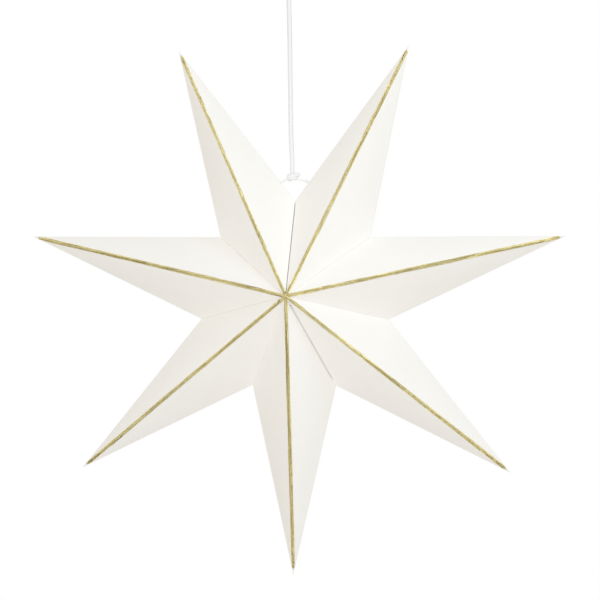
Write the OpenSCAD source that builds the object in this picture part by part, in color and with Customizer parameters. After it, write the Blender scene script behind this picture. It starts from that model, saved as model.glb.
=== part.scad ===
// Seven-pointed star of folded card with a glitter line on every ridge, hung on a knotted cord.
// Front faces -Y, +Z is up, and the origin is where a hook bears inside the loop at the cord's top.

/* [Star] */
// Distance from the star's centre to the tip of each point
tip_radius = 300; // [240:1:380]
// Distance from the star's centre to the valley between two points
valley_radius = 105.4; // [95:0.1:125]
// Distance from the middle plane to the apex, in front and behind
half_depth = 68; // [50:0.5:90]
// Lean of the top right point towards the cord, in degrees
tip_lean = 1.4; // [0:0.1:2]

/* [Card] */
// Thickness of the card
card_t = 0.4; // [0.3:0.05:0.6]
// Width of the flaps that join neighbouring points along each valley
flap_w = 10; // [6:0.5:14]
// Width of the glued strip that closes each point along its back ridge
strip_w = 9; // [6:0.5:11]
// Start of the glued strip, measured from the back apex
strip_start = 22; // [20:1:40]
// Bare length between the glued strip and the tip
strip_stop = 36; // [32:1:60]
// Gap of the seam that stays open between the two top points
seam_gap = 0.7; // [0.6:0.1:2]

/* [Glitter lines] */
// Width of a line laid flat, half of it on either side of the ridge
line_w = 5.4; // [4:0.1:8]
// Thickness of the glitter on the card
line_t = 0.3; // [0.2:0.05:0.5]
// Bare length of ridge between the line and the tip
line_stop = 7; // [4:0.5:15]

/* [Tie string] */
// Diameter of the string that ties the seam shut
string_d = 1.6; // [1.2:0.1:2]
// Distance from the top valley up each side fold to the string's hole
hole_up = 25; // [22:0.5:32]
// Clearance all round the string in its holes
string_clear = 0.3; // [0.2:0.05:0.4]
// Diameter of the stopper knot at each end of the string, inside the points
stopper_d = 4.4; // [3.8:0.1:5]
// Distance from each hole to the middle of its stopper knot
stopper_in = 6; // [5.5:0.1:8]
// Diameter of the half hitch outside the right hole
hitch_d = 3.8; // [3.2:0.1:4.4]
// Drop of the string from the knot down to its holes
tie_drop = 3.3; // [2:0.1:6]

/* [Cord knot] */
// Diameter of the hanging cord
cord_d = 5; // [4:0.1:6]
// Width of the knot round the tie string
knot_w = 12.4; // [11:0.1:15]
// Thickness of the knot
knot_d = 9.8; // [9:0.1:12]
// Radius of the knot's rounded ends
knot_round = 3; // [1.5:0.1:3.6]
// Length of cord that shows straight above the knot
neck_l = 2.6; // [1:0.1:6]
// Distance from the cord's middle across to the knot's middle
knot_across = 0.2; // [0:0.1:2]
// Distance from the knot's middle down to the string's channel
channel_down = 2.7; // [2:0.1:3]
// Length of the cord's short end that stands out of the knot
tail_l = 3; // [1:0.1:6]
// Distance from the knot's middle across to the star's middle
star_across = 3.5; // [0:0.1:5]

/* [Hanging loop] */
// Clear width of the loop
loop_w = 14; // [10:0.5:20]
// Clear height of the loop
loop_h = 22; // [18:0.5:30]
// Diameter of the knot that closes the loop
loop_knot_d = 13; // [12:0.1:16]
// Height of the knot that closes the loop
loop_knot_h = 14; // [12:0.1:16]
// Radius of that knot's rounded ends
loop_knot_round = 3.6; // [2:0.1:3.9]

/* [Hidden] */
POINTS = ["top_left", "top_right", "right", "lower_right", "bottom", "lower_left", "left"];

card_colour = "#f4f1e8";
glitter_colour = "#bca854";
cord_colour = "#f3f3f1";

// Points are numbered round the star from the top left one, whose right valley is the open seam
TOP_LEFT = 0;
TOP_RIGHT = 1;
half_step = 180 / len(POINTS);

// Sides of the swept cords, and the facets of their round knots
string_sides = 8;
cord_sides = 12;
round_fn = 48;

// Size of the blocks that cut the star's sectors, and the small overlap of a cut
block = 4 * tip_radius;
over = 0.5;
sink = 0.1;

// Route of the hanging cord's middle, from the knot up to the loop's knot
loop_drop = loop_h + loop_knot_h;
CORD_ROUTE = [
    [4.6, 0, -223.5], [4.6, 0, -216], [4.1, 0, -206], [3.5, 0, -195], [3.1, 0, -184], [2.8, 0, -172],
    [2.6, 0, -160], [2.4, 0, -148], [2.2, 0, -136], [1.9, 0, -124], [1.7, 0, -112], [1.5, 0, -100],
    [1.3, 0, -88], [1.0, 0, -76], [0.7, 0, -64], [0.4, 0, -54], [0, 0, -45], [0, 0, -loop_drop]];

// The knot hangs below the cord, and the star hangs below the knot by its two holes
function unit(v) = v / norm(v);
cord_end = CORD_ROUTE[0];
knot_middle = cord_end + [knot_across, 0, -neck_l - knot_d / 2];
channel_z = knot_middle.z - channel_down;
valley_top = [0, 0, valley_radius];
function tip_shift(lean) = tip_radius * sin(lean) * [-1, 0, 0];
function fold_up(side) =
    let (
        shift = side > 0 ? norm(tip_shift(tip_lean)) : 0,
        upright = tip_radius * [side * sin(half_step), 0, cos(half_step)]
    )
    unit(upright + shift * [-cos(half_step), 0, sin(half_step)] - valley_top);
function hole_place(side) = valley_top + hole_up * fold_up(side);
star_middle = [knot_middle.x + star_across, 0, channel_z - tie_drop - hole_place(-1).z];

// Planes of one point that stands straight up, as [outward normal, distance], set in by some depth
function plane_of(a, b, c) = let (n = unit(cross(b - a, c - a))) [n, n * a];
function inset_plane(p, depth) = [p[0], p[1] - depth];
function meet(p, q, s) =
    let (volume = p[0] * cross(q[0], s[0]))
    (p[1] * cross(q[0], s[0]) + q[1] * cross(s[0], p[0]) + s[1] * cross(p[0], q[0])) / volume;

// Corners of one point: front apex, back apex, left valley, right valley, tip
front_apex = [0, -half_depth, 0];
back_apex = [0, half_depth, 0];
valley_left = valley_radius * [-sin(half_step), 0, cos(half_step)];
valley_right = valley_radius * [sin(half_step), 0, cos(half_step)];
tip = [0, 0, tip_radius];
function corners(depth, lean) =
    let (
        front_left = inset_plane(plane_of(front_apex, tip, valley_left), depth),
        front_right = inset_plane(plane_of(front_apex, valley_right, tip), depth),
        back_left = inset_plane(plane_of(back_apex, valley_left, tip), depth),
        back_right = inset_plane(plane_of(back_apex, tip, valley_right), depth),
        side_left = inset_plane([[-cos(half_step), 0, -sin(half_step)], 0], depth),
        side_right = inset_plane([[cos(half_step), 0, -sin(half_step)], 0], depth)
    )
    [
        meet(front_left, front_right, side_left),
        meet(back_left, back_right, side_left),
        meet(front_left, back_left, side_left),
        meet(front_right, back_right, side_right),
        meet(front_left, front_right, back_left) + tip_shift(lean)
    ];
function lean_of(i) = i == TOP_RIGHT ? tip_lean : 0;

// Solid swept through rings of equal count, each listed counterclockwise as seen from the start;
// a ring that bends inwards does so at its first place, from where its end is closed
module swept(rings) {
    count = len(rings[0]);
    last = count * (len(rings) - 1);
    side_faces = [
        for (i = [0 : len(rings) - 2], k = [0 : count - 1])
            let (a = i * count + k, b = i * count + (k + 1) % count)
                each [[a, b, b + count], [a, b + count, a + count]]
    ];
    start_cap = [for (k = [1 : count - 2]) [0, k + 1, k]];
    end_cap = [for (k = [1 : count - 2]) [last, last + k, last + k + 1]];
    polyhedron([for (ring = rings) each ring], concat(side_faces, start_cap, end_cap), convexity = 6);
}

// Rings round a route that keeps to a plane of constant Y
function tangent(route, i) = unit(route[min(i + 1, len(route) - 1)] - route[max(i - 1, 0)]);
function rings_along(route, radius, sides) = [
    for (i = [0 : len(route) - 1])
        let (across = cross(tangent(route, i), [0, 1, 0]))
            [for (k = [0 : sides - 1])
                route[i] + radius * (cos(360 * k / sides) * across + [0, sin(360 * k / sides), 0])]
];

// Places a point's own frame, tip up, at its turn round the star
module at_point(i) {
    translate(star_middle) rotate([0, half_step * (2 * i - 1), 0]) children();
}

// Keeps what lies inside one edge of a point's sector; side is 1 on the right, -1 on the left
module inside_edge(side, pull) {
    intersection() {
        children();
        rotate([0, side * half_step, 0])
            translate([-side * (block / 2 + pull), 0, 0]) cube(block, center = true);
    }
}

// Keeps a top point clear of the open seam, leaving the other points whole
module seam_kept(i, depth) {
    if (i == TOP_LEFT) inside_edge(1, seam_gap / 2 + depth) children();
    else if (i == TOP_RIGHT) inside_edge(-1, seam_gap / 2 + depth) children();
    else children();
}

module pyramid(c) {
    polyhedron(c, [[0, 2, 4], [0, 4, 3], [1, 4, 2], [1, 3, 4], [2, 0, 1], [0, 3, 1]]);
}

// Opening in a point's side between its two flaps; the side is bare from there to the axis
module flap_window(side) {
    slope = atan(half_depth / valley_radius);
    axis_y = half_depth - flap_w / cos(slope);
    end_x = valley_radius - flap_w / sin(slope);
    rise = over * axis_y / end_x;
    rotate([0, side * half_step - 90, 0])
        linear_extrude(height = seam_gap + 2 * card_t + 2 * over, center = true)
            polygon([[-over, -axis_y - rise], [end_x, 0], [-over, axis_y + rise]]);
}

// Strip on the inner face of the back left panel, glued where the sheet closes on itself
module closing_strip(i) {
    c = corners(card_t, lean_of(i));
    along = unit(c[4] - c[1]);
    reach = c[2] - c[1];
    inward = unit(reach - (reach * along) * along);
    normal = unit(cross(along, inward));
    low = c[1] + strip_start * along - sink * inward;
    high = c[4] - strip_stop * along - sink * inward;
    wide = (strip_w + sink) * inward;
    base = [low, high, high - strip_w * along + wide, low + strip_w * along + wide];
    swept([[for (p = base) p + card_t * normal], [for (p = base) p - sink * normal]]);
}

// Hole in a side fold along the string, made in the frame of the star's middle
module string_hole(side) {
    slant = side < 0 ? left_slant : right_slant;
    translate(star_middle + hole_place(side)) rotate([0, 90 + side * slant, 0])
        cylinder(h = 3 * string_d, d = string_d + 2 * string_clear, center = true, $fn = round_fn);
}

// One point: four panels with sharp folds, flaps along both valleys and the closing strip
module star_point(i) {
    color(card_colour) difference() {
        at_point(i) union() {
            difference() {
                seam_kept(i, 0) pyramid(corners(0, lean_of(i)));
                seam_kept(i, card_t) pyramid(corners(card_t, lean_of(i)));
                flap_window(-1);
                flap_window(1);
            }
            closing_strip(i);
        }
        if (i == TOP_LEFT) string_hole(-1);
        if (i == TOP_RIGHT) string_hole(1);
    }
}

// Glitter line folded over one ridge; face is -1 in front and 1 behind
module glitter_line(i, face) {
    c = corners(0, lean_of(i));
    apex = face < 0 ? c[0] : c[1];
    along = unit(c[4] - apex);
    left = unit((c[2] - apex) - ((c[2] - apex) * along) * along);
    right = unit((c[3] - apex) - ((c[3] - apex) * along) * along);
    left_out = -face * unit(cross(along, left)) * line_t;
    right_out = -face * unit(cross(right, along)) * line_t;
    ridge_out = (left_out + right_out) / (1 + (left_out * right_out) / (line_t * line_t));
    section = [[0, 0, 0], right * line_w / 2, right * line_w / 2 + right_out,
               ridge_out, left * line_w / 2 + left_out, left * line_w / 2];
    order = face < 0 ? [0, 1, 2, 3, 4, 5] : [0, 5, 4, 3, 2, 1];
    start = apex - line_w * along;
    end = c[4] - line_stop * along;
    gap_left = i == TOP_RIGHT ? seam_gap / 2 : 0;
    gap_right = i == TOP_LEFT ? seam_gap / 2 : 0;
    color(glitter_colour) at_point(i)
        inside_edge(-1, gap_left) inside_edge(1, gap_right)
            swept([for (p = [start, end]) [for (k = order) p + section[k]]]);
}

// String from a stopper in the top left point, through the knot, to one in the top right point
hole_left = star_middle + hole_place(-1);
hole_right = star_middle + hole_place(1);
mouth_left = [knot_middle.x - knot_w / 2 - over, 0, channel_z];
mouth_right = [knot_middle.x + knot_w / 2 + over, 0, channel_z];
left_slant = atan2(mouth_left.z - hole_left.z, mouth_left.x - hole_left.x);
right_slant = atan2(mouth_right.z - hole_right.z, hole_right.x - mouth_right.x);
left_in = [-cos(left_slant), 0, -sin(left_slant)];
right_in = [cos(right_slant), 0, -sin(right_slant)];
TIE_ROUTE = [
    hole_left + stopper_in * left_in, hole_left, hole_left - 0.4 * (hole_left - mouth_left),
    mouth_left + 0.1 * (hole_left - mouth_left), mouth_left + [1, 0, 0], knot_middle + [0, 0, -channel_down],
    mouth_right - [1, 0, 0], mouth_right + 0.1 * (hole_right - mouth_right),
    hole_right - 0.4 * (hole_right - mouth_right), hole_right, hole_right + stopper_in * right_in];
hitch_out = (hitch_d / 2 + string_clear) / norm(cross(fold_up(1), right_in));
module tie_string() {
    color(cord_colour) {
        swept(rings_along(TIE_ROUTE, string_d / 2, string_sides));
        for (place = [TIE_ROUTE[0], TIE_ROUTE[len(TIE_ROUTE) - 1]])
            translate(place) sphere(d = stopper_d, $fn = round_fn);
        translate(hole_right - hitch_out * right_in) sphere(d = hitch_d, $fn = round_fn);
    }
}

// Body of a knot round the Z axis, with rounded ends
module knot_body(width, height, rounding) {
    rotate_extrude($fn = round_fn) intersection() {
        union() {
            square([width - 2 * rounding, height], center = true);
            square([width, height - 2 * rounding], center = true);
            for (x = [-1, 1], y = [-1, 1])
                translate([x * (width / 2 - rounding), y * (height / 2 - rounding)])
                    circle(rounding, $fn = round_fn);
        }
        translate([0, -height / 2]) square([width / 2, height]);
    }
}

// Knot of the hanging cord round the tie string, with its neck above and its short end to the right
module cord_knot() {
    color(cord_colour) difference() {
        union() {
            translate(knot_middle) rotate([0, 90, 0]) knot_body(knot_d, knot_w, knot_round);
            translate([cord_end.x, 0, knot_middle.z])
                cylinder(h = cord_end.z - knot_middle.z, d = cord_d, $fn = round_fn);
            translate(knot_middle + [knot_w / 2 + tail_l - cord_d / 2, 0, knot_d / 2 - cord_d / 2])
                sphere(d = cord_d, $fn = round_fn);
            translate(knot_middle + [0, 0, knot_d / 2 - cord_d / 2]) rotate([0, 90, 0])
                cylinder(h = knot_w / 2 + tail_l - cord_d / 2, d = cord_d, $fn = round_fn);
        }
        translate([knot_middle.x, 0, channel_z]) rotate([0, 90, 0])
            cylinder(h = 2 * knot_w, d = string_d + 2 * string_clear, center = true, $fn = round_fn);
    }
}

module hanging_cord() {
    color(cord_colour) swept(rings_along(CORD_ROUTE, cord_d / 2, cord_sides));
}

// Loop for a hook, closed by a knot; the loop's clear top is the origin
loop_r = (loop_w + cord_d) / 2;
leg_x = cord_d / 2 + sink;
leg_l = loop_h - loop_w / 2;
leg_steps = 6;
arc_steps = 10;
leg_right = [for (k = [0 : leg_steps]) let (v = k / leg_steps)
    [leg_x + (loop_r - leg_x) * (1 - cos(180 * v)) / 2, 0, -loop_h + v * leg_l]];
arc = [for (k = [1 : arc_steps - 1]) let (u = 180 * k / arc_steps)
    [loop_r * cos(u), 0, -loop_w / 2 + loop_r * sin(u)]];
leg_left = [for (k = [leg_steps : -1 : 0]) [-leg_right[k].x, 0, leg_right[k].z]];
root_right = [leg_x, 0, -loop_h - loop_knot_round];
root_left = [-leg_x, 0, -loop_h - loop_knot_round];
LOOP_ROUTE = concat([root_right], leg_right, arc, leg_left, [root_left]);
module hanging_loop() {
    color(cord_colour) {
        swept(rings_along(LOOP_ROUTE, cord_d / 2, cord_sides));
        translate([0, 0, -loop_h - loop_knot_h / 2]) knot_body(loop_knot_d, loop_knot_h, loop_knot_round);
    }
}

module point_top_left() { star_point(0); }
module point_top_right() { star_point(1); }
module point_right() { star_point(2); }
module point_lower_right() { star_point(3); }
module point_bottom() { star_point(4); }
module point_lower_left() { star_point(5); }
module point_left() { star_point(6); }
module glitter_front_top_left() { glitter_line(0, -1); }
module glitter_front_top_right() { glitter_line(1, -1); }
module glitter_front_right() { glitter_line(2, -1); }
module glitter_front_lower_right() { glitter_line(3, -1); }
module glitter_front_bottom() { glitter_line(4, -1); }
module glitter_front_lower_left() { glitter_line(5, -1); }
module glitter_front_left() { glitter_line(6, -1); }
module glitter_back_top_left() { glitter_line(0, 1); }
module glitter_back_top_right() { glitter_line(1, 1); }
module glitter_back_right() { glitter_line(2, 1); }
module glitter_back_lower_right() { glitter_line(3, 1); }
module glitter_back_bottom() { glitter_line(4, 1); }
module glitter_back_lower_left() { glitter_line(5, 1); }
module glitter_back_left() { glitter_line(6, 1); }

point_top_left();
point_top_right();
point_right();
point_lower_right();
point_bottom();
point_lower_left();
point_left();
glitter_front_top_left();
glitter_front_top_right();
glitter_front_right();
glitter_front_lower_right();
glitter_front_bottom();
glitter_front_lower_left();
glitter_front_left();
glitter_back_top_left();
glitter_back_top_right();
glitter_back_right();
glitter_back_lower_right();
glitter_back_bottom();
glitter_back_lower_left();
glitter_back_left();
tie_string();
cord_knot();
hanging_cord();
hanging_loop();
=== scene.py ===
"""Hanging star of folded card with a glitter line on every ridge, tied shut and hung on a knotted cord."""
import math
import random

import bmesh
import bpy
from bpy.props import FloatProperty, FloatVectorProperty, IntProperty, PointerProperty
from bpy.types import Operator, Panel, PropertyGroup
from mathutils import Matrix, Vector, noise
from mathutils.geometry import interpolate_bezier
from mathutils.interpolate import poly_3d_calc


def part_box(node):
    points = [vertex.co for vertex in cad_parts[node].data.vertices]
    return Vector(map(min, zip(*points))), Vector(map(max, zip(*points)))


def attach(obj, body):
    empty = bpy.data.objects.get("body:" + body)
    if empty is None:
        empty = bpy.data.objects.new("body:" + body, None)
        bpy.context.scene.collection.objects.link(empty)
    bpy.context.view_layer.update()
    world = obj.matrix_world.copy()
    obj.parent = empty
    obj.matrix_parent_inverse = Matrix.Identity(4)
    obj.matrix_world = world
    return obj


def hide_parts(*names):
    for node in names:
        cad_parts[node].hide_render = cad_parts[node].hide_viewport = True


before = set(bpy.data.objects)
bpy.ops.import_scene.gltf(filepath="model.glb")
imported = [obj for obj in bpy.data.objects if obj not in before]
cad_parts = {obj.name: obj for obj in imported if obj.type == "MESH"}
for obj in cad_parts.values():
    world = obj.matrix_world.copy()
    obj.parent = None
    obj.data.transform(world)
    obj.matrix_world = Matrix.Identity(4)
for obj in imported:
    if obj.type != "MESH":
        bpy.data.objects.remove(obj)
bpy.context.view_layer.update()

bl_info = {
    "name": "Folded Card Star",
    "version": (1, 0, 0),
    "blender": (4, 5, 0),
    "location": "View3D > Sidebar > Card Star",
    "description": "Dresses a hanging seven-pointed star of folded card, its glitter lines, strings and studio",
    "category": "Object",
}

# Points are numbered round the star from the top left one, whose right valley is the open seam
POINTS = ("top_left", "top_right", "right", "lower_right", "bottom", "lower_left", "left")
TOP_LEFT = 0
TOP_RIGHT = 1
LOWER_RIGHT = 3
BOTTOM = 4
HALF_STEP = math.pi / len(POINTS)
FRONT = -1
BACK = 1
LEFT = -1
RIGHT = 1
UP = Vector((0, 0, 1))

# The bottom point hangs straight down, so its box gives the star's middle and its three main sizes
bottom_low, bottom_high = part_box("point_bottom")
CENTRE = Vector(((bottom_low.x + bottom_high.x) / 2, 0, bottom_high.z))
TIP_RADIUS = bottom_high.z - bottom_low.z
HALF_DEPTH = bottom_high.y
VALLEY_RADIUS = (bottom_high.x - bottom_low.x) / 2 / math.sin(HALF_STEP)

# Route of the hanging cord's middle, from the star's knot up to the loop's knot
CORD_ROUTE = [Vector(place) / 1000 for place in (
    (4.6, 0, -223.5), (4.6, 0, -216), (4.1, 0, -206), (3.5, 0, -195), (3.1, 0, -184), (2.8, 0, -172),
    (2.6, 0, -160), (2.4, 0, -148), (2.2, 0, -136), (1.9, 0, -124), (1.7, 0, -112), (1.5, 0, -100),
    (1.3, 0, -88), (1.0, 0, -76), (0.7, 0, -64), (0.4, 0, -54), (0, 0, -45), (0, 0, -36))]


def length_setting(name, description, default):
    return FloatProperty(name=name, description=description, default=default, unit="LENGTH")


def angle_setting(name, description, degrees):
    return FloatProperty(name=name, description=description, default=math.radians(degrees), subtype="ANGLE")


def colour_setting(name, description, default):
    return FloatVectorProperty(name=name, description=description, default=default, subtype="COLOR", size=3)


class CardSettings(PropertyGroup):
    """Sizes and colour of the folded card."""
    thickness: length_setting("Thickness", "Thickness of the card", 0.0004)
    flap: length_setting("Flap", "Width of the flaps along each valley", 0.010)
    strip: length_setting("Strip", "Width of the glued strip along the back ridge", 0.009)
    strip_start: length_setting("Strip start", "Start of the strip from the back apex", 0.022)
    strip_stop: length_setting("Strip stop", "Bare length between the strip and the tip", 0.036)
    seam_gap: length_setting("Seam gap", "Gap of the seam that stays open between the top points", 0.0007)
    lean: angle_setting("Lean", "Lean of the top right point towards the cord", 1.4)
    crown: length_setting("Crown", "Height by which the middle of each panel bulges", 0.0005)
    lip: length_setting("Lip", "Height to which each panel rises beside its valley", 0.0010)
    lip_width: length_setting("Lip width", "Width over which it rises there", 0.010)
    groove: length_setting("Groove", "Rounding beside the valley that stands a little open", 0.0030)
    waves: length_setting("Waves", "Height of the slow waves in the card", 0.0002)
    fold_round: length_setting("Fold round", "Width of the rounding on each fold", 0.0004)
    colour: colour_setting("Colour", "Colour of the card", (0.935, 0.92, 0.885))
    shade: colour_setting("Shade", "Colour of the card where its fibres are denser", (0.92, 0.902, 0.86))


class GlitterSettings(PropertyGroup):
    """Sizes and colours of the glitter lines."""
    width: length_setting("Width", "Width of a line laid flat", 0.0043)
    thickness: length_setting("Thickness", "Thickness of the bead of glue", 0.0003)
    bare_tip: length_setting("Bare tip", "Bare ridge between a line and the tip", 0.007)
    flake: length_setting("Flake", "Radius of the largest flakes", 0.00080)
    doublings: IntProperty(name="Doublings", description="Each doubles the flakes of a line", default=10)
    # Light and dark gold are the ends of the painted glint: each flake's brightness between them stands in for
    # sparkle.
    light: colour_setting("Light gold", "Colour of the bright flakes", (1.0, 0.95, 0.57))
    dark: colour_setting("Dark gold", "Colour of the dull flakes", (0.55, 0.41, 0.12))


class CordSettings(PropertyGroup):
    """Sizes and colours of the tie string and the hanging cord."""
    cord: length_setting("Cord", "Diameter of the hanging cord", 0.005)
    string: length_setting("String", "Diameter of the tie string", 0.0016)
    hole_up: length_setting("Hole up", "Distance from the top valley up each fold to the string's hole", 0.025)
    hole_clear: length_setting("Hole clearance", "Clearance all round the string in its holes", 0.0003)
    stopper: length_setting("Stopper", "Diameter of the knots inside the top points", 0.0044)
    stopper_in: length_setting("Stopper in", "Distance from each hole to its stopper knot", 0.006)
    hitch: length_setting("Hitch", "Diameter of the half hitch outside the right hole", 0.0038)
    knot_width: length_setting("Knot width", "Width of the knot without its short end", 0.0124)
    channel_down: length_setting("Channel down", "Distance from the knot's middle down to the string", 0.0027)
    loop_width: length_setting("Loop width", "Clear width of the loop", 0.014)
    loop_height: length_setting("Loop height", "Clear height of the loop", 0.022)
    cord_colour: colour_setting("Cord colour", "Colour of the hanging cord", (0.85, 0.853, 0.855))
    string_colour: colour_setting("String colour", "Colour of the tie string", (0.86, 0.86, 0.85))


class StudioSettings(PropertyGroup):
    """Camera, lamps and floor."""
    distance: length_setting("Distance", "Distance of the camera from the star's middle", 2.55)
    turn: angle_setting("Turn", "Turn of the camera to the star's right", 8.43)
    drop: angle_setting("Drop", "Angle of the camera below the star's middle", 1.22)
    roll: angle_setting("Roll", "Roll of the camera to the left", 0.316)
    aim_right: length_setting("Aim right", "How far right of the star's middle the camera aims", 0.0056)
    aim_down: length_setting("Aim down", "How far below the star's middle the camera aims", 0.0026)
    lens: FloatProperty(name="Lens", description="Focal length of the camera", default=141.1, unit="CAMERA")
    front_power: FloatProperty(name="Front power", description="Power of the front lamp", default=29.5, unit="POWER")
    front_size: length_setting("Front size", "Size of the front lamp", 1.6)
    front_distance: length_setting("Front distance", "Distance of the front lamp from the star's middle", 2.75)
    front_colour: colour_setting("Front colour", "Colour of the front and back lamps", (0.96, 1.0, 1.08))
    lamp_shift: length_setting("Lamp shift", "Height of the front and back lamps, and the front one's shift", 0.1)
    key_power: FloatProperty(name="Key power", description="Power of the slanting lamp", default=3.2, unit="POWER")
    key_size: length_setting("Key size", "Size of the slanting lamp", 0.6)
    key_right: length_setting("Key right", "Distance of the slanting lamp to the star's right", 0.80)
    key_front: length_setting("Key front", "Distance of the slanting lamp before the star", 0.80)
    key_up: length_setting("Key up", "Height of the slanting lamp above the star's middle", 0.90)
    key_colour: colour_setting("Key colour", "Colour of the slanting lamp", (0.80, 1.0, 1.20))
    back_power: FloatProperty(name="Back power", description="Power of the lamp behind", default=0.35, unit="POWER")
    back_size: length_setting("Back size", "Size of the lamp behind", 0.8)
    back_left: length_setting("Back left", "Distance of the lamp behind to the star's left", 1.5)
    back_distance: length_setting("Back distance", "Distance of the lamp behind the star", 1.6)
    back_spread: angle_setting("Back spread", "Spread of the lamp behind, which keeps it off the floor", 30)
    room: colour_setting("Room", "Colour of the even light from all round", (0.625, 0.592, 0.54))
    floor_down: length_setting("Floor down", "Depth of the floor below the star's lowest tip", 0.45)
    floor_size: length_setting("Floor size", "Width of the floor", 6.0)
    floor_colour: colour_setting("Floor colour", "Colour of the floor", (0.80, 0.79, 0.77))


SETTINGS = {
    "card_star_card": CardSettings,
    "card_star_glitter": GlitterSettings,
    "card_star_cord": CordSettings,
    "card_star_studio": StudioSettings,
}


# Node helpers

def node(tree, kind, inputs=None, **settings):
    """New shader node with its settings and the values of its input sockets."""
    new = tree.nodes.new(kind)
    for name, value in settings.items():
        setattr(new, name, value)
    for socket, value in (inputs or {}).items():
        new.inputs[socket].default_value = value
    return new


def link(tree, source, target):
    tree.links.new(source, target)


def computed(tree, operation, *sources):
    """Output of a math node whose inputs are sockets or plain numbers."""
    made = node(tree, "ShaderNodeMath", operation=operation)
    for source, target in zip(sources, made.inputs):
        if isinstance(source, float):
            target.default_value = source
        else:
            link(tree, source, target)
    return made.outputs[0]


def opaque(colour):
    return (*colour, 1.0)


def new_group(name, inputs, outputs):
    """Empty shader group with named input and output sockets; returns it with its two end nodes."""
    group = bpy.data.node_groups.new(name, "ShaderNodeTree")
    for socket_name, kind, default in inputs:
        socket = group.interface.new_socket(socket_name, in_out="INPUT", socket_type=kind)
        if default is not None:
            socket.default_value = default
    for socket_name, kind in outputs:
        group.interface.new_socket(socket_name, in_out="OUTPUT", socket_type=kind)
    return group, group.nodes.new("NodeGroupInput"), group.nodes.new("NodeGroupOutput")


def mottle_group():
    """Slow and fast patches of any size, as one mask from 0 to 1."""
    group, start, end = new_group(
        "Mottle",
        [("Vector", "NodeSocketVector", None), ("Slow", "NodeSocketFloat", 60.0),
         ("Fast", "NodeSocketFloat", 600.0), ("Share", "NodeSocketFloat", 0.5)],
        [("Mask", "NodeSocketFloat")])
    slow = node(group, "ShaderNodeTexNoise", {"Detail": 2.0, "Roughness": 0.55})
    fast = node(group, "ShaderNodeTexNoise", {"Detail": 1.0, "Roughness": 0.6})
    mix = node(group, "ShaderNodeMix", data_type="FLOAT")
    spread = node(group, "ShaderNodeMapRange", {"From Min": 0.3, "From Max": 0.7})
    for texture, socket in ((slow, "Slow"), (fast, "Fast")):
        link(group, start.outputs["Vector"], texture.inputs["Vector"])
        link(group, start.outputs[socket], texture.inputs["Scale"])
    link(group, start.outputs["Share"], mix.inputs["Factor"])
    link(group, slow.outputs["Fac"], mix.inputs["A"])
    link(group, fast.outputs["Fac"], mix.inputs["B"])
    link(group, mix.outputs["Result"], spread.inputs["Value"])
    link(group, spread.outputs["Result"], end.inputs["Mask"])
    return group


def twist_group():
    """Strands that wind both ways round a cord, as a height; one way only when Braid is 0."""
    group, start, end = new_group(
        "Strands",
        [("Vector", "NodeSocketVector", None), ("Strands", "NodeSocketFloat", 8.0),
         ("Turns a metre", "NodeSocketFloat", 90.0), ("Braid", "NodeSocketFloat", 1.0)],
        [("Height", "NodeSocketFloat")])
    split = node(group, "ShaderNodeSeparateXYZ")
    link(group, start.outputs["Vector"], split.inputs["Vector"])
    around = computed(group, "MULTIPLY", split.outputs["Y"], start.outputs["Strands"])
    along = computed(group, "MULTIPLY", split.outputs["X"], start.outputs["Turns a metre"])
    waves = []
    for operation in ("ADD", "SUBTRACT"):
        phase = computed(group, operation, around, along)
        waves.append(computed(group, "COSINE", computed(group, "MULTIPLY", phase, math.tau)))
    braid = computed(group, "MULTIPLY", waves[1], start.outputs["Braid"])
    half = node(group, "ShaderNodeMapRange", {"From Min": -2.0, "From Max": 2.0})
    link(group, computed(group, "ADD", waves[0], braid), half.inputs["Value"])
    link(group, half.outputs["Result"], end.inputs["Height"])
    return group


def shared_group(name, build):
    return bpy.data.node_groups.get(name) or build()


def placed_group(tree, group, **values):
    placed = node(tree, "ShaderNodeGroup", node_tree=group)
    for socket, value in values.items():
        placed.inputs[socket.replace("_", " ")].default_value = value
    return placed


def new_material(name, **values):
    """Material with a Principled BSDF whose constant sockets take the given values."""
    material = bpy.data.materials.new(name)
    material.use_nodes = True
    shader = material.node_tree.nodes["Principled BSDF"]
    for socket, value in values.items():
        shader.inputs[socket.replace("_", " ")].default_value = value
    return material, material.node_tree, shader


def mixed_colours(tree, mask, first, second):
    """Colour that runs from first to second as the mask runs from 0 to 1."""
    mix = node(tree, "ShaderNodeMix", data_type="RGBA")
    mix.inputs["A"].default_value = opaque(first)
    mix.inputs["B"].default_value = opaque(second)
    link(tree, mask, mix.inputs["Factor"])
    return mix.outputs["Result"]


def ranged(tree, mask, low, high):
    """Value that runs from low to high as the mask runs from 0 to 1."""
    spread = node(tree, "ShaderNodeMapRange", {"To Min": low, "To Max": high})
    link(tree, mask, spread.inputs["Value"])
    return spread.outputs["Result"]


def bumped(tree, shader, height, strength, distance):
    bump = node(tree, "ShaderNodeBump", {"Strength": strength, "Distance": distance})
    link(tree, height, bump.inputs["Height"])
    link(tree, bump.outputs["Normal"], shader.inputs["Normal"])


def card_material(card):
    """Matt off-white card: faint cloudy patches and a fine pressed grain."""
    material, tree, shader = new_material("Folded card", Roughness=0.8, Specular_IOR_Level=0.25)
    place = node(tree, "ShaderNodeTexCoord").outputs["Object"]
    mottle = shared_group("Mottle", mottle_group)
    cloud = placed_group(tree, mottle, Slow=70.0, Fast=900.0, Share=0.45)
    grain = node(tree, "ShaderNodeTexNoise", {"Scale": 1500.0, "Detail": 1.0})
    for placed in (cloud, grain):
        link(tree, place, placed.inputs["Vector"])
    colour = mixed_colours(tree, cloud.outputs["Mask"], card.colour, card.shade)
    link(tree, colour, shader.inputs["Base Color"])
    link(tree, ranged(tree, grain.outputs["Fac"], 0.7, 0.9), shader.inputs["Roughness"])
    bumped(tree, shader, grain.outputs["Fac"], 0.3, 0.00006)
    return material


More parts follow.
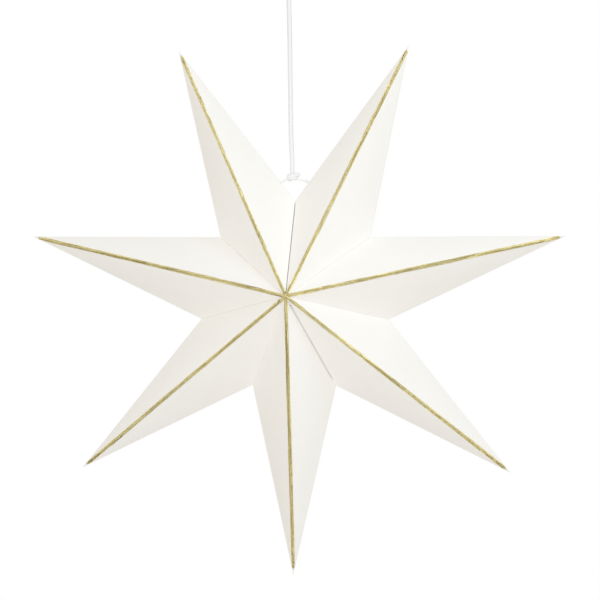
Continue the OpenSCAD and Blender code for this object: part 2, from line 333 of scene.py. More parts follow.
def glitter_material(glitter):
    """Gold glitter in glue: each flake has its own painted glint, a random brightness that stands in for the sparkle
    of flakes at different tilts, over slow darker and lighter patches.
    """
    material, tree, shader = new_material("Gold glitter", Metallic=0.7, Roughness=0.4)
    place = node(tree, "ShaderNodeTexCoord").outputs["Object"]
    patches = placed_group(tree, shared_group("Mottle", mottle_group), Slow=330.0, Fast=1500.0, Share=0.35)
    link(tree, place, patches.inputs["Vector"])
    # Painted glint: a random brightness per flake, mixed half and half with the slow patches.
    glint = node(tree, "ShaderNodeAttribute", attribute_name="glint")
    blend = node(tree, "ShaderNodeMix", {"Factor": 0.5}, data_type="FLOAT")
    link(tree, patches.outputs["Mask"], blend.inputs["A"])
    link(tree, glint.outputs["Fac"], blend.inputs["B"])
    shade = blend.outputs["Result"]
    link(tree, mixed_colours(tree, shade, glitter.dark, glitter.light), shader.inputs["Base Color"])
    link(tree, ranged(tree, shade, 0.55, 0.28), shader.inputs["Roughness"])
    bumped(tree, shader, patches.outputs["Mask"], 0.6, 0.0001)
    return material


def strand_material(name, colour, strands, turns, braid, strength, distance):
    """White fibre wound round the cord, with painted shade in the grooves between its strands and a soft dusty
    roughness.
    """
    material, tree, shader = new_material(name, Roughness=0.7, Specular_IOR_Level=0.3)
    uv = node(tree, "ShaderNodeTexCoord").outputs["UV"]
    wound = placed_group(tree, shared_group("Strands", twist_group),
                         Strands=strands, Turns_a_metre=turns, Braid=braid)
    dust = placed_group(tree, shared_group("Mottle", mottle_group), Slow=250.0, Fast=2400.0, Share=0.5)
    link(tree, uv, wound.inputs["Vector"])
    link(tree, node(tree, "ShaderNodeTexCoord").outputs["Object"], dust.inputs["Vector"])
    # Painted shade: the strand height colours the grooves 7% darker than the crests. On the tie string, whose
    # strands wind no way, it makes one side round it a little darker.
    shade = [0.93 * channel for channel in colour]
    link(tree, mixed_colours(tree, wound.outputs["Height"], shade, colour), shader.inputs["Base Color"])
    link(tree, ranged(tree, dust.outputs["Mask"], 0.6, 0.8), shader.inputs["Roughness"])
    bumped(tree, shader, wound.outputs["Height"], strength, distance)
    return material


# Piece helpers

def add_piece(name, mesh, material, nodes):
    """Object of the star that stands for the named nodes and hangs with the rest."""
    obj = bpy.data.objects.new(name, mesh)
    bpy.context.scene.collection.objects.link(obj)
    mesh.materials.clear()
    mesh.materials.append(material)
    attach(obj, "root")
    if nodes:
        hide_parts(*nodes)
    return obj


def mesh_from(bm, name, sharp_degrees):
    """Smooth mesh of a bmesh, sharp where its faces turn by more than some degrees."""
    mesh = bpy.data.meshes.new(name)
    bm.to_mesh(mesh)
    bm.free()
    mesh.shade_smooth()
    mesh.set_sharp_from_angle(angle=math.radians(sharp_degrees))
    return mesh


def applied(mesh, name, add_modifiers):
    """Mesh with the modifiers that add_modifiers puts on a passing object."""
    passing = bpy.data.objects.new(name, mesh)
    bpy.context.scene.collection.objects.link(passing)
    add_modifiers(passing)
    evaluated = passing.evaluated_get(bpy.context.evaluated_depsgraph_get())
    result = bpy.data.meshes.new_from_object(evaluated)
    bpy.data.objects.remove(passing)
    bpy.data.meshes.remove(mesh)
    result.name = name
    return result


def rolled(bm, steps, sides, place):
    """Grid rolled into a closed tube with flat ends: place(step, side) puts each vertex."""
    uv = bm.loops.layers.uv.verify()
    made = bmesh.ops.create_grid(bm, x_segments=steps, y_segments=sides, size=1.0, calc_uvs=True)["verts"]
    for vert in made:
        step = round((vert.co.x + 1) / 2 * steps)
        side = round((vert.co.y + 1) / 2 * sides)
        vert.co = place(step, side % sides)
    bmesh.ops.remove_doubles(bm, verts=made, dist=1e-7)
    kept = [vert for vert in made if vert.is_valid]
    rims = [edge for edge in {edge for vert in kept for edge in vert.link_edges} if edge.is_boundary]
    bmesh.ops.holes_fill(bm, edges=rims, sides=sides)
    faces = list({face for vert in kept for face in vert.link_faces})
    bmesh.ops.recalc_face_normals(bm, faces=faces)
    return faces, uv


def even_places(line, step):
    """Evenly spaced places along a broken line, about a step apart."""
    reach = [0.0]
    for start, end in zip(line, line[1:]):
        reach.append(reach[-1] + (end - start).length)
    count = max(2, round(reach[-1] / step))
    places = []
    index = 0
    for k in range(count + 1):
        target = reach[-1] * k / count
        while index < len(line) - 2 and reach[index + 1] < target:
            index += 1
        share = (target - reach[index]) / (reach[index + 1] - reach[index])
        places.append(line[index].lerp(line[index + 1], share))
    return places


def smooth_path(points, step):
    """Evenly spaced places on a smooth curve through given points."""
    around = [2 * points[0] - points[1], *points, 2 * points[-1] - points[-2]]
    line = []
    for before, start, end, after in zip(around, around[1:], around[2:], around[3:]):
        handle = (end - start).length / 3
        first = start + handle * (end - before).normalized()
        second = end - handle * (after - start).normalized()
        line += interpolate_bezier(start, first, second, end, 16)[:-1]
    return even_places([*line, points[-1]], step)


def turning_frames(path):
    """Two directions across a path at each place, which never twist round it."""
    tangents = [(after - before).normalized() for before, after in
                zip([path[0], *path[:-1]], [*path[1:], path[-1]])]
    across = tangents[0].orthogonal().normalized()
    frames = []
    for index, tangent in enumerate(tangents):
        if index:
            across = tangents[index - 1].rotation_difference(tangent) @ across
        across = (across - across.dot(tangent) * tangent).normalized()
        frames.append((across, tangent.cross(across)))
    return frames


def cord_along(bm, path, sides, radius):
    """Cord along a path; radius(metres along, turns round) is measured from its middle."""
    frames = turning_frames(path)
    reach = [0.0]
    for start, end in zip(path, path[1:]):
        reach.append(reach[-1] + (end - start).length)

    def place(step, side):
        across, other = frames[step]
        turn = side / sides
        angle = 2 * math.pi * turn
        direction = math.cos(angle) * across + math.sin(angle) * other
        return path[step] + radius(reach[step], turn) * direction

    faces, uv = rolled(bm, len(path) - 1, sides, place)
    for face in faces:
        for loop in face.loops:
            loop[uv].uv.x *= reach[-1]
    return reach[-1]


# Shape of one point, in its own frame: tip up, front towards -Y, the star's middle at the origin

def point_matrix(index):
    return Matrix.Translation(CENTRE) @ Matrix.Rotation(HALF_STEP * (2 * index - 1), 4, "Y")


def lean_of(index):
    return bpy.context.scene.card_star_card.lean if index == TOP_RIGHT else 0.0


def tip_of(index):
    return Vector((-TIP_RADIUS * math.sin(lean_of(index)), 0, TIP_RADIUS))


def valley_of(side):
    return VALLEY_RADIUS * Vector((side * math.sin(HALF_STEP), 0, math.cos(HALF_STEP)))


def apex_of(face):
    return Vector((0, face * HALF_DEPTH, 0))


def seam_side(index):
    """Side on which the open seam lies: right of the top left point, left of the top right one."""
    return {TOP_LEFT: RIGHT, TOP_RIGHT: LEFT}.get(index, 0)


def edge_normal(side):
    """Outward normal of the plane that parts a point from its neighbour on one side."""
    return Vector((side * math.cos(HALF_STEP), 0, -math.sin(HALF_STEP)))


def open_valley_side(index):
    """Side of the valley between the bottom and lower right points, whose fold stands a little open."""
    return {LOWER_RIGHT: RIGHT, BOTTOM: LEFT}.get(index, 0)


class CardPanel:
    """One panel of a point, between its apex, its tip and one valley, with its bulge."""

    def __init__(self, index, face, side):
        self.corners = [apex_of(face), tip_of(index), valley_of(side)]
        along = (self.corners[1] - self.corners[0]).normalized()
        reach = self.corners[2] - self.corners[0]
        self.along = along
        self.across = (reach - reach.dot(along) * along).normalized()
        normal = along.cross(self.across)
        self.normal = normal if normal.y * face > 0 else -normal
        self.seed = Vector((7.0 * index, 3.0 * face, 5.0 * side))
        area = (self.corners[1] - self.corners[0]).cross(reach).length
        self.height = area / reach.length

    def bulge(self, place):
        """Height of the card above the flat panel, which is nothing on its three edges."""
        card = bpy.context.scene.card_star_card
        near_apex, near_tip, near_valley = (max(0.0, share) for share in poly_3d_calc(self.corners, place))
        middle = 27 * near_apex * near_tip * near_valley
        wave = noise.noise(WAVES_A_METRE * place + self.seed)
        rise = 1 - math.exp(-near_tip * self.height / card.lip_width)
        return (card.crown * middle + card.waves * wave * min(1.0, 3 * middle)
                + card.lip * 4 * near_apex * near_valley * rise)

    def raised(self, place):
        return place + self.bulge(place) * self.normal


def fold_direction(side):
    """Direction up a top point's side fold from the top valley, in the star's frame."""
    index = TOP_LEFT if side == LEFT else TOP_RIGHT
    top = point_matrix(index) @ tip_of(index) - CENTRE
    return (top - VALLEY_RADIUS * UP).normalized()


def hole_place(side):
    cord = bpy.context.scene.card_star_cord
    return CENTRE + VALLEY_RADIUS * UP + cord.hole_up * fold_direction(side)


def knot_middle():
    low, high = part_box("cord_knot")
    cord = bpy.context.scene.card_star_cord
    return Vector((low.x + cord.knot_width / 2, 0, low.z + (high.y - low.y) / 2))


def string_mouth(side):
    """Where the tie string leaves the cord's knot."""
    cord = bpy.context.scene.card_star_cord
    return knot_middle() + Vector((side * (cord.knot_width / 2 + 0.0005), 0, -cord.channel_down))


# Card

PANEL_CUTS = 31
TIP_SHARP = 0.011
APEX_SHARP = 0.006
FOLD_ANGLE = math.radians(14)
CARD_SHARP = math.radians(40)
STRIP_CLEAR = 0.00005
ON_FOLD = 1e-6
WAVES_A_METRE = 14


def fold_edges(bm, index):
    """Edges where the card turns, short of the places where many folds meet."""
    sharp_ends = [(tip_of(index), TIP_SHARP), (apex_of(FRONT), APEX_SHARP), (apex_of(BACK), APEX_SHARP)]

    def is_clear(vert):
        return all((vert.co - place).length > reach for place, reach in sharp_ends)

    return [edge for edge in bm.edges
            if edge.is_manifold and edge.calc_face_angle() > FOLD_ANGLE
            and all(is_clear(vert) for vert in edge.verts)]


def groove_edges(bm, index):
    """Front edges of the fold that stands a little open, short of its ends."""
    side = open_valley_side(index)
    corner = valley_of(side)
    return [edge for edge in bm.edges
            if side and edge.is_manifold and edge.calc_face_angle() > FOLD_ANGLE
            and all(vert.co.y < 0 and abs(vert.co.dot(edge_normal(side))) < ON_FOLD
                    and (vert.co - corner).length > APEX_SHARP
                    and (vert.co - apex_of(FRONT)).length > APEX_SHARP for vert in edge.verts)]


def add_closing_strip(bm, index, card):
    """Strip under the back left panel, where the sheet is glued to itself."""
    panel = CardPanel(index, BACK, LEFT)
    depth = -(card.thickness + STRIP_CLEAR)
    length = (panel.corners[1] - panel.corners[0]).length
    inner = card.thickness
    places = [(card.strip_start, inner), (length - card.strip_stop, inner),
              (length - card.strip_stop - card.strip, card.strip), (card.strip_start + card.strip, card.strip)]
    verts = []
    for along, across in places:
        flat = panel.corners[0] + along * panel.along + across * panel.across
        verts.append(bm.verts.new(flat + depth * panel.normal))
    face = bm.faces.new(verts)
    face.normal_update()
    if face.normal.dot(panel.normal) < 0:
        face.normal_flip()


def folded_point(index):
    """Mesh of one point: four bulging panels, flaps turned in along both valleys and the glued strip."""
    card = bpy.context.scene.card_star_card
    bm = bmesh.new()
    panel_of = bm.faces.layers.int.new("panel")
    tip = bm.verts.new(tip_of(index))
    apexes = {face: bm.verts.new(apex_of(face)) for face in (FRONT, BACK)}
    valleys = {side: bm.verts.new(valley_of(side)) for side in (LEFT, RIGHT)}
    panels = []
    for face in (FRONT, BACK):
        for side in (LEFT, RIGHT):
            turned = face == side
            corners = (apexes[face], tip, valleys[side]) if turned else (apexes[face], valleys[side], tip)
            bm.faces.new(corners)[panel_of] = len(panels)
            panels.append(CardPanel(index, face, side))
    bmesh.ops.subdivide_edges(bm, edges=bm.edges[:], cuts=PANEL_CUTS, use_grid_fill=True)
    for vert in bm.verts:
        numbers = {face[panel_of] for face in vert.link_faces}
        if len(numbers) == 1 and not vert.is_boundary:
            vert.co = panels[numbers.pop()].raised(vert.co)
    side = seam_side(index)
    if side:
        away = edge_normal(side)
        seam = [vert for vert in bm.verts if vert.is_boundary and abs(vert.co.dot(away)) < ON_FOLD]
        bmesh.ops.translate(bm, vec=-card.seam_gap / 2 * away, verts=seam)
    rim = [edge for edge in bm.edges if edge.is_boundary]
    turned_in = bmesh.ops.extrude_edge_only(bm, edges=rim)["geom"]
    diagonal = math.hypot(VALLEY_RADIUS, HALF_DEPTH)
    inward = 1 - card.flap * diagonal / (VALLEY_RADIUS * HALF_DEPTH)
    bmesh.ops.scale(bm, vec=(inward, inward, inward),
                    verts=[part for part in turned_in if isinstance(part, bmesh.types.BMVert)])
    bmesh.ops.recalc_face_normals(bm, faces=bm.faces[:])
    highest = max(bm.faces, key=lambda face: face.calc_center_median().z)
    if highest.normal.dot(highest.calc_center_median() - Vector((0, 0, VALLEY_RADIUS))) < 0:
        bmesh.ops.reverse_faces(bm, faces=bm.faces[:])
    groove = card.groove if index == BOTTOM else card.groove / 3
    bmesh.ops.bevel(bm, geom=groove_edges(bm, index), offset=groove, offset_type="OFFSET",
                    segments=6, profile=0.5, affect="EDGES", clamp_overlap=True, material=-1)
    bmesh.ops.bevel(bm, geom=fold_edges(bm, index), offset=card.fold_round, offset_type="OFFSET",
                    segments=3, profile=0.5, affect="EDGES", clamp_overlap=True, material=-1)
    add_closing_strip(bm, index, card)
    bmesh.ops.transform(bm, matrix=point_matrix(index), verts=bm.verts[:])
    return bm


def hole_cutter(side):
    """Rod along the tie string, a little wider than it, which cuts its hole in a side fold."""
    cord = bpy.context.scene.card_star_cord
    place = hole_place(side)
    pull = string_mouth(side) - place
    bm = bmesh.new()
    bmesh.ops.create_cone(bm, cap_ends=True, segments=24, radius1=cord.string / 2 + cord.hole_clear,
                          radius2=cord.string / 2 + cord.hole_clear, depth=3 * cord.string)
    turn = UP.rotation_difference(pull.normalized()).to_matrix().to_4x4()
    bmesh.ops.transform(bm, matrix=Matrix.Translation(place) @ turn, verts=bm.verts[:])
    cutter = bpy.data.objects.new("hole_cutter", mesh_from(bm, "hole_cutter", 180))
    bpy.context.scene.collection.objects.link(cutter)
    return cutter


class CARDSTAR_OT_card_points(Operator):
    """Fold the seven card points, with their flaps, glued strips and string holes"""
    bl_idname = "card_star.card_points"
    bl_label = "Fold Card Points"

    def execute(self, context):
        card = context.scene.card_star_card
        material = card_material(card)
        for index, point in enumerate(POINTS):
            name = f"card_point_{point}"
            mesh = mesh_from(folded_point(index), name, 180)
            side = {TOP_LEFT: LEFT, TOP_RIGHT: RIGHT}.get(index)
            cutter = hole_cutter(side) if side else None

            def thicken(obj):
                wall = obj.modifiers.new("Card thickness", "SOLIDIFY")
                wall.thickness = card.thickness
                wall.offset = -1
                wall.use_even_offset = True
                if cutter:
                    hole = obj.modifiers.new("String hole", "BOOLEAN")
                    hole.operation = "DIFFERENCE"
                    hole.object = cutter
                    hole.solver = "EXACT"

            mesh = applied(mesh, name, thicken)
            if cutter:
                rod = cutter.data
                bpy.data.objects.remove(cutter)
                bpy.data.meshes.remove(rod)
            mesh.shade_smooth()
            mesh.set_sharp_from_angle(angle=CARD_SHARP)
            piece = add_piece(name, mesh, material, [f"point_{point}"])
            flat = piece.modifiers.new("Panel shading", "WEIGHTED_NORMAL")
            flat.keep_sharp = True
            flat.weight = 60
        return {"FINISHED"}


# Glitter

BED_SECTION = ((-1.0, 0.0), (-0.8, 0.75), (-0.4, 1.0), (0.0, 1.0), (0.4, 1.0), (0.8, 0.75), (1.0, 0.0),
               (0.5, -0.3), (0.0, -0.3), (-0.5, -0.3))
BED_STEP = 0.0012
FLAKE_SIDES = 6
FLAKE_THICK = 0.12
FLAKE_SMALLEST = 0.55
FLAKE_TILT = 0.3
FLAKE_CLEAR = 0.00002
LINE_START = 0.0006
# Painted glint of the bare glue bead between the flakes.
BED_PAINTED_GLINT = 0.35


class GlitterLine:
    """Bead of glitter along the ridge of one point, on one face of the star."""

    def __init__(self, index, face):
        self.glitter = bpy.context.scene.card_star_glitter
        self.panels = {side: CardPanel(index, face, side) for side in (LEFT, RIGHT)}
        self.apex, self.tip, _ = self.panels[LEFT].corners
        self.length = (self.tip - self.apex).length
        self.along = self.panels[LEFT].along
        self.start = LINE_START
        self.stop = self.length - self.glitter.bare_tip
        self.seed = 11.0 * index + 5.0 * face
        self.apex_spread = {}
        self.tip_spread = {}
        for side, panel in self.panels.items():
            valley = panel.corners[2]
            self.apex_spread[side] = math.tan(self.along.angle(valley - self.apex))
            self.tip_spread[side] = math.tan(self.along.angle(self.tip - valley))

    def half_width(self, reach, side):
        """Half width at some reach from the apex: uneven, and no wider than the card at either end."""
        wave = noise.noise(Vector((reach * 260, self.seed, 9.0 * side)))
        slow = noise.noise(Vector((reach * 60, self.seed, 4.0 * side)))
        width = self.glitter.width / 2 * (1 + 0.16 * wave + 0.10 * slow)
        ends = min((reach - self.start) * 2.5, (self.stop - reach) * 1.2) + 0.0003
        return min(width, ends, 0.96 * reach * self.apex_spread[side],
                   0.9 * (self.length - reach) * self.tip_spread[side])

    def thickness(self, reach, across):
        wave = noise.noise(Vector((reach * 380, across * 380, self.seed)))
        return self.glitter.thickness * (0.8 + 0.35 * wave)

    def place(self, reach, across, height):
        """Place on the folded card; across runs from -1 at the left rim to 1 at the right one."""
        side = LEFT if across < 0 else RIGHT
        panel = self.panels[side]
        spread = abs(across) * self.half_width(reach, side)
        flat = self.apex + reach * self.along + spread * panel.across
        ridge = abs(across) < 0.05
        up = (self.panels[LEFT].normal + self.panels[RIGHT].normal).normalized() if ridge else panel.normal
        return flat + (panel.bulge(flat) + height) * up


def glitter_bed(line):
    """Bead of glue with a rounded, uneven section."""
    bm = bmesh.new()
    steps = round((line.stop - line.start) / BED_STEP)

    def place(step, side):
        reach = line.start + (line.stop - line.start) * step / steps
        across, height = BED_SECTION[side]
        return line.place(reach, across, height * line.thickness(reach, across))

    rolled(bm, steps, len(BED_SECTION), place)
    return bm


def glitter_flakes(line, draw):
    """Thin six-sided flakes strewn on the bead, each with its own size, tilt and painted glint, a random brightness
    that stands in for sparkle.
    """
    glitter = line.glitter
    bm = bmesh.new()
    bmesh.ops.create_cone(bm, cap_ends=True, segments=FLAKE_SIDES, radius1=1.0, radius2=0.9, depth=FLAKE_THICK * 2)
    for _ in range(glitter.doublings):
        bmesh.ops.duplicate(bm, geom=bm.verts[:] + bm.edges[:] + bm.faces[:])
    bm.verts.ensure_lookup_table()
    glint = bm.verts.layers.float.new("glint")
    per_flake = 2 * FLAKE_SIDES
    for first in range(0, len(bm.verts), per_flake):
        reach = draw.uniform(line.start, line.stop)
        across = draw.uniform(-1, 1) * 0.93
        side = LEFT if across < 0 else RIGHT
        size = glitter.flake * draw.uniform(FLAKE_SMALLEST, 1.0)
        lift = line.thickness(reach, across) * (1 - abs(across) ** 4) + FLAKE_CLEAR
        middle = line.place(reach, across, lift)
        tilt = Vector([draw.gauss(0, FLAKE_TILT) for _ in range(3)])
        normal = (line.panels[side].normal + tilt).normalized()
        turn = UP.rotation_difference(normal).to_matrix() @ Matrix.Rotation(draw.uniform(0, math.tau), 3, "Z")
        # Painted glint: each flake gets a random brightness between dark and light gold.
        shade = draw.random()
        for vert in bm.verts[first:first + per_flake]:
            vert.co = middle + size * (turn @ vert.co)
            vert[glint] = shade
    return bm


class CARDSTAR_OT_glitter_lines(Operator):
    """Lay a line of gold glitter on every ridge, in front and behind"""
    bl_idname = "card_star.glitter_lines"
    bl_label = "Lay Glitter Lines"

    def execute(self, context):
        material = glitter_material(context.scene.card_star_glitter)
        for face, face_name in ((FRONT, "front"), (BACK, "back")):
            for index, point in enumerate(POINTS):
                name = f"glitter_line_{face_name}_{point}"
                line = GlitterLine(index, face)
                draw = random.Random(f"{face_name} {point}")
                bm = glitter_bed(line)
                # The bead takes one fixed painted glint.
                glint = bm.verts.layers.float.new("glint")
                for vert in bm.verts:
                    vert[glint] = BED_PAINTED_GLINT
                flakes = glitter_flakes(line, draw)
                passing = bpy.data.meshes.new("flakes")
                flakes.to_mesh(passing)
                flakes.free()
                bm.from_mesh(passing)
                bpy.data.meshes.remove(passing)
                bmesh.ops.transform(bm, matrix=point_matrix(index), verts=bm.verts[:])
                mesh = mesh_from(bm, name, 35)
                add_piece(name, mesh, material, [f"glitter_{face_name}_{point}"])
        return {"FINISHED"}


# Strings and cord

PLY = 3
TWIST_LENGTH = 0.0042
PLY_DEPTH = 0.12
STRING_SAG = 0.0003
COIL_STEPS = 12


def plied(radius):
    """Radius of a string of three twisted plies."""
    def at(along, turn):
        ridge = abs(math.cos(math.pi * (PLY * turn - along / TWIST_LENGTH * PLY / 2)))
        return radius * (1 - PLY_DEPTH + PLY_DEPTH * ridge)
    return at


def coil(middle, radius_x, radius_y, rise, turns, start_turn):
    """Places on an upright oval coil, from its lower end to its upper end."""
    steps = round(COIL_STEPS * turns)
    places = []
    for k in range(steps + 1):
        angle = math.tau * (start_turn + turns * k / steps)
        height = rise * (k / steps - 0.5)
        places.append(middle + Vector((radius_x * math.cos(angle), radius_y * math.sin(angle), height)))
    return places


def small_knot(bm, middle, diameter, string):
    """Round knot of the tie string: two crossing coils drawn tight."""
    turn_radius = (diameter - string) / 2
    for tip_axis in ("X", "Y"):
        ring = coil(Vector(), turn_radius, turn_radius * 0.8, string, 1.8, 0.1)
        tilt = Matrix.Translation(middle) @ Matrix.Rotation(math.radians(50), 4, tip_axis)
        cord_along(bm, smooth_path([tilt @ place for place in ring], 0.0005), 12, plied(string / 2))


class CARDSTAR_OT_tie_string(Operator):
    """Run the twisted tie string from the left point, through the cord's knot, to the right point"""
    bl_idname = "card_star.tie_string"
    bl_label = "Run Tie String"

    def execute(self, context):
        cord = context.scene.card_star_cord
        middle = knot_middle() - cord.channel_down * UP
        route = []
        stoppers = []
        for side in (LEFT, RIGHT):
            hole = hole_place(side)
            mouth = string_mouth(side)
            inward = (hole - mouth).normalized()
            sag = -STRING_SAG * UP
            half = [hole + cord.stopper_in * inward, hole, hole.lerp(mouth, 0.4) + sag,
                    hole.lerp(mouth, 0.9), mouth - side * Vector((0.001, 0, 0))]
            stoppers.append(half[0])
            route += half if side == LEFT else [middle, *reversed(half)]
        bm = bmesh.new()
        cord_along(bm, smooth_path(route, 0.0004), 18, plied(cord.string / 2))
        for place in stoppers:
            small_knot(bm, place, cord.stopper, cord.string)
        hole = hole_place(RIGHT)
        inward = (hole - string_mouth(RIGHT)).normalized()
        slope = fold_direction(RIGHT).cross(inward).length
        hitch_place = hole - (cord.hitch / 2 + cord.hole_clear) / slope * inward
        small_knot(bm, hitch_place, cord.hitch, cord.string)
        mesh = mesh_from(bm, "tie_string_twisted", 60)
        material = strand_material("White string", cord.string_colour, 1.0, 0.0, 0.0, 0.05, 0.0001)
        add_piece("tie_string_twisted", mesh, material, ["tie_string"])
        return {"FINISHED"}


def even_radius(radius):
    return lambda along, turn: radius


KNOT_SQUEEZE = 0.88


def star_knot(cord):
    """Knot of the cord round the tie string: two flat turns round its own end, and a short end."""
    middle = knot_middle()
    top = CORD_ROUTE[0]
    radius = cord.cord / 2 * KNOT_SQUEEZE
    reach_x = cord.knot_width / 2 - radius
    turns = coil(middle + Vector((0, 0, -0.0001)), reach_x, reach_x * 0.68, 0.0048, 1.9, 0.30)
    neck = [top, top - 0.0022 * UP, top + Vector((0.0002, 0.0004, -0.0046)),
            middle + Vector((0.0006, 0.0006, -0.0005))]
    short_end = [middle + Vector((0.0040, -0.0020, 0.0022)), middle + Vector((0.0066, -0.0008, 0.0022)),
                 middle + Vector((0.0086, 0.0, 0.0016))]
    bm = bmesh.new()
    cord_along(bm, smooth_path(neck, 0.0006), 24, even_radius(cord.cord / 2 * 0.92))
    rounded = smooth_path([*turns, *short_end], 0.0006)
    total = sum((end - start).length for start, end in zip(rounded, rounded[1:]))

    def tapered(along, turn):
        left = max(0.0, total - along)
        return radius * min(1.0, math.sqrt(max(0.05, min(1.0, left / 0.0018))))

    cord_along(bm, rounded, 24, tapered)
    return mesh_from(bm, "star_knot", 60)


def loop_shape(cord):
    """Teardrop loop whose clear top is the origin, and the knot of two turns that closes it."""
    loop_low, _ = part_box("hanging_loop")
    bend = (cord.loop_width + cord.cord) / 2
    leg_x = cord.cord / 2
    foot = -cord.loop_height - 0.0036
    leg = [Vector((leg_x + (bend - leg_x) * (1 - math.cos(math.pi * k / 6)) / 2, 0,
                   -cord.loop_height + (cord.loop_height - cord.loop_width / 2) * k / 6)) for k in range(7)]
    arc = [Vector((bend * math.cos(math.pi * k / 10), 0,
                   -cord.loop_width / 2 + bend * math.sin(math.pi * k / 10))) for k in range(1, 10)]
    mirrored = [Vector((-place.x, 0, place.z)) for place in reversed(leg)]
    route = [Vector((leg_x, 0, foot)), *leg, *arc, *mirrored, Vector((-leg_x, 0, foot))]
    bm = bmesh.new()
    cord_along(bm, smooth_path(route, 0.0012), 24, even_radius(cord.cord / 2))
    radius = cord.cord / 2 * 0.9
    middle = Vector((0, 0, (loop_low.z - cord.loop_height) / 2))
    height = -cord.loop_height - loop_low.z
    turn_radius = 0.0065 - radius
    knot = coil(middle, turn_radius, turn_radius, height - 2 * radius - 0.0006, 2.6, 0.1)
    cord_along(bm, smooth_path(knot, 0.0008), 24, even_radius(radius))
    return mesh_from(bm, "hanging_loop_tied", 60)


class CARDSTAR_OT_hanging_cord(Operator):
    """Hang the cord, with the knot round the tie string below and the loop above"""
    bl_idname = "card_star.hanging_cord"
    bl_label = "Hang Cord"

    def execute(self, context):
        cord = context.scene.card_star_cord
        material = strand_material("White cord", cord.cord_colour, 8.0, 190.0, 1.0, 0.25, 0.0002)
        path = smooth_path(CORD_ROUTE, 0.002)
        bm = bmesh.new()
        length = cord_along(bm, path, 32, even_radius(cord.cord / 2))
        mesh = mesh_from(bm, "hanging_cord_round", 60)
        cord_piece = add_piece("hanging_cord_round", mesh, material, ["hanging_cord"])
        knot = add_piece("star_knot", star_knot(cord), material, ["cord_knot"])
        loop = add_piece("hanging_loop_tied", loop_shape(cord), material, ["hanging_loop"])
        return {"FINISHED"}


# Studio

class CARDSTAR_OT_camera(Operator):
    """Place the camera a little below the star's middle and to its right"""
    bl_idname = "card_star.camera"
    bl_label = "Place Camera"

    def execute(self, context):
        studio = context.scene.card_star_studio
        away = Vector((math.sin(studio.turn) * math.cos(studio.drop),
                       -math.cos(studio.turn) * math.cos(studio.drop), -math.sin(studio.drop)))
        place = CENTRE + studio.distance * away
        level_right = (-away).cross(UP).normalized()
        level_up = level_right.cross(-away)
        target = CENTRE + studio.aim_right * level_right - studio.aim_down * level_up
        forward = (target - place).normalized()
        right = forward.cross(UP).normalized()
        up = right.cross(forward)
        rolled_up = math.cos(studio.roll) * up - math.sin(studio.roll) * right
        rolled_right = forward.cross(rolled_up)
        data = bpy.data.cameras.new("camera")
        data.lens = studio.lens
        data.clip_end = 50
        camera = bpy.data.objects.new("camera", data)
        turn = Matrix((rolled_right, rolled_up, -forward)).transposed().to_4x4()
        camera.matrix_world = Matrix.Translation(place) @ turn
        context.scene.collection.objects.link(camera)
        context.scene.camera = camera
        return {"FINISHED"}


def light_world(studio):
    """Even light from all round; the camera, gloss and glass see a plain white background."""
    world = bpy.data.worlds.new("studio")
    world.use_nodes = True
    tree = world.node_tree
    tree.nodes.clear()
    path = node(tree, "ShaderNodeLightPath")
    room = node(tree, "ShaderNodeBackground", {"Color": opaque(studio.room), "Strength": 1.0})
    white = node(tree, "ShaderNodeBackground", {"Color": (1.0, 1.0, 1.0, 1.0), "Strength": 1.0})
    seen = computed(tree, "MAXIMUM", path.outputs["Is Camera Ray"], path.outputs["Is Glossy Ray"])
    either = computed(tree, "MAXIMUM", seen, path.outputs["Is Transmission Ray"])
    mix = node(tree, "ShaderNodeMixShader")
    end = node(tree, "ShaderNodeOutputWorld")
    link(tree, either, mix.inputs["Fac"])
    link(tree, room.outputs[0], mix.inputs[1])
    link(tree, white.outputs[0], mix.inputs[2])
    link(tree, mix.outputs[0], end.inputs["Surface"])
    return world


def add_lamp(studio, name, offset, colour):
    """Soft lamp that faces the star's middle from some way off."""
    data = bpy.data.lights.new(f"{name}_lamp", "AREA")
    data.energy = getattr(studio, f"{name}_power")
    data.size = getattr(studio, f"{name}_size")
    data.color = colour
    lamp = bpy.data.objects.new(f"{name}_lamp", data)
    lamp.location = CENTRE + offset
    lamp.rotation_euler = (-offset).to_track_quat("-Z", "Y").to_euler()
    bpy.context.scene.collection.objects.link(lamp)
    return data


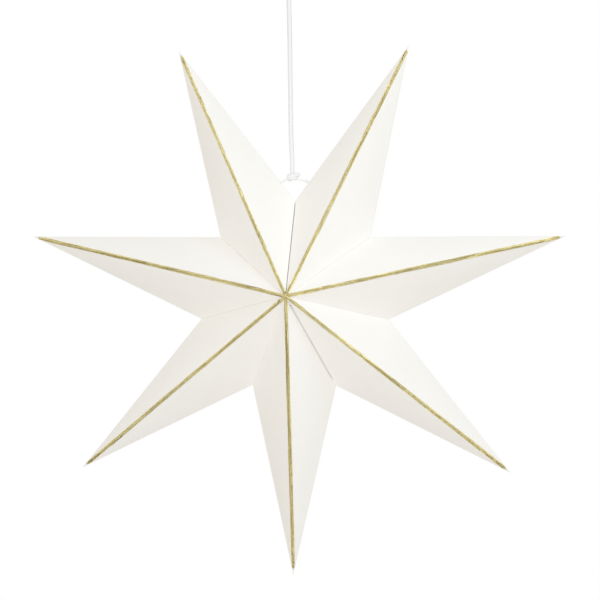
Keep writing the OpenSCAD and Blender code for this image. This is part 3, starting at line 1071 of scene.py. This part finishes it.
class CARDSTAR_OT_stage(Operator):
    """Set up the pale floor, the soft lamps and the even light of a plain studio"""
    bl_idname = "card_star.stage"
    bl_label = "Set Up Studio"

    def execute(self, context):
        studio = context.scene.card_star_studio
        context.scene.world = light_world(studio)
        context.scene.view_settings.view_transform = "Standard"
        shift = studio.lamp_shift
        add_lamp(studio, "front", Vector((shift, -studio.front_distance, shift)), studio.front_colour)
        add_lamp(studio, "key", Vector((studio.key_right, -studio.key_front, studio.key_up)), studio.key_colour)
        back_offset = Vector((-studio.back_left, studio.back_distance, shift))
        back = add_lamp(studio, "back", back_offset, studio.front_colour)
        back.spread = studio.back_spread
        bm = bmesh.new()
        bmesh.ops.create_grid(bm, x_segments=1, y_segments=1, size=studio.floor_size / 2)
        depth = bottom_low.z - studio.floor_down
        bmesh.ops.translate(bm, vec=(CENTRE.x, 0, depth), verts=bm.verts[:])
        mesh = mesh_from(bm, "floor", 180)
        material, tree, shader = new_material("Pale floor", Roughness=0.9, Specular_IOR_Level=0.2)
        patches = placed_group(tree, shared_group("Mottle", mottle_group), Slow=3.0, Fast=40.0, Share=0.3)
        link(tree, node(tree, "ShaderNodeTexCoord").outputs["Object"], patches.inputs["Vector"])
        darker = [0.985 * channel for channel in studio.floor_colour]
        link(tree, mixed_colours(tree, patches.outputs["Mask"], darker, studio.floor_colour),
             shader.inputs["Base Color"])
        mesh.materials.append(material)
        floor = bpy.data.objects.new("floor", mesh)
        context.scene.collection.objects.link(floor)
        return {"FINISHED"}


OPERATORS = (
    CARDSTAR_OT_camera,
    CARDSTAR_OT_hanging_cord,
    CARDSTAR_OT_tie_string,
    CARDSTAR_OT_card_points,
    CARDSTAR_OT_glitter_lines,
    CARDSTAR_OT_stage,
)


class CARDSTAR_PT_panel(Panel):
    """Steps and settings of the card star"""
    bl_idname = "CARDSTAR_PT_panel"
    bl_label = "Card Star"
    bl_space_type = "VIEW_3D"
    bl_region_type = "UI"
    bl_category = "Card Star"

    def draw(self, context):
        for operator in OPERATORS:
            self.layout.operator(operator.bl_idname)
        for name in SETTINGS:
            box = self.layout.box()
            settings = getattr(context.scene, name)
            for key in settings.bl_rna.properties.keys():
                if key not in {"name", "rna_type"}:
                    box.prop(settings, key)


CLASSES = (*SETTINGS.values(), *OPERATORS, CARDSTAR_PT_panel)


def register():
    for cls in CLASSES:
        bpy.utils.register_class(cls)
    for name, cls in SETTINGS.items():
        setattr(bpy.types.Scene, name, PointerProperty(type=cls))


def unregister():
    for name in SETTINGS:
        delattr(bpy.types.Scene, name)
    for cls in reversed(CLASSES):
        bpy.utils.unregister_class(cls)


def main():
    register()
    bpy.ops.card_star.camera()
    bpy.ops.card_star.hanging_cord()
    bpy.ops.card_star.tie_string()
    bpy.ops.card_star.card_points()
    bpy.ops.card_star.glitter_lines()
    bpy.ops.card_star.stage()


if __name__ == "__main__":
    main()
